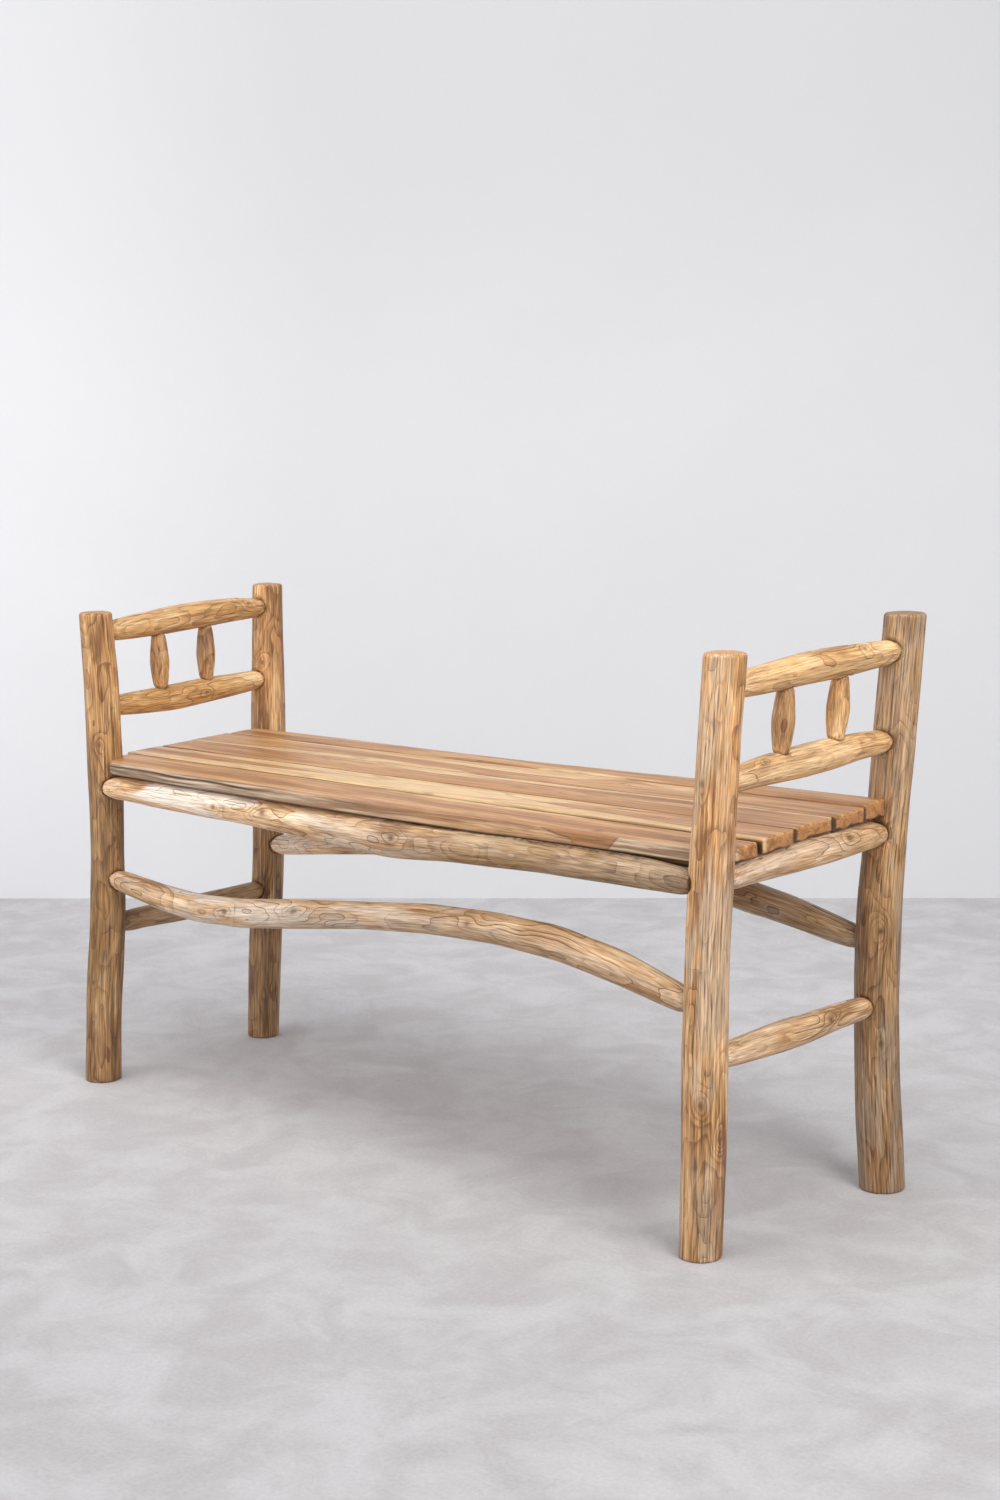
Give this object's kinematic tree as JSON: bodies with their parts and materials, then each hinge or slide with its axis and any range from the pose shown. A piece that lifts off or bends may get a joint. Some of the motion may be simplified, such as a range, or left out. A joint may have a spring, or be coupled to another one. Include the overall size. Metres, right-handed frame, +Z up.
{
  "type": "log bench",
  "caption": "Rustic bench of peeled poles with a boarded seat, open low arms with spindles, and curved branch stretchers between its four posts",
  "frame": {"origin": "on the floor, at the middle of the bench's footprint", "axes": "+X runs along the seat to the right-hand end, +Y to the back, +Z up"},
  "size_m": [1.1983, 0.4083, 0.714],
  "materials": {
    "post_wood": "peeled, dry, matte, brown with paler streaks",
    "arm_wood": "peeled, dry, matte, golden tan",
    "rail_wood": "peeled, dry, matte, pale tan with grey weathering",
    "spindle_wood": "whittled, dry, matte, golden tan",
    "board_wood": "sawn and sanded smooth, low sheen, pinkish tan",
    "bearer_wood": "split, dry, matte",
    "screw_steel": "plain zinc-plated steel"
  },
  "bodies": {
    "root": {"front_left_post": "post_wood", "back_left_post": "post_wood", "front_right_post": "post_wood", "back_right_post": "post_wood", "left_upper_arm": "arm_wood", "left_lower_arm": "arm_wood", "right_upper_arm": "arm_wood", "right_lower_arm": "arm_wood", "left_end_rail": "rail_wood", "right_end_rail": "rail_wood", "front_seat_rail": "rail_wood", "back_seat_rail": "rail_wood", "left_stretcher": "rail_wood", "right_stretcher": "rail_wood", "front_stretcher": "rail_wood", "back_stretcher": "rail_wood", "left_front_spindle": "spindle_wood", "left_back_spindle": "spindle_wood", "right_front_spindle": "spindle_wood", "right_back_spindle": "spindle_wood", "seat_board_1": "board_wood", "seat_board_2": "board_wood", "seat_board_3": "board_wood", "seat_board_4": "board_wood", "seat_board_5": "board_wood", "seat_bearer": "bearer_wood", "seat_screws": "screw_steel"}
  },
  "joints": []
}
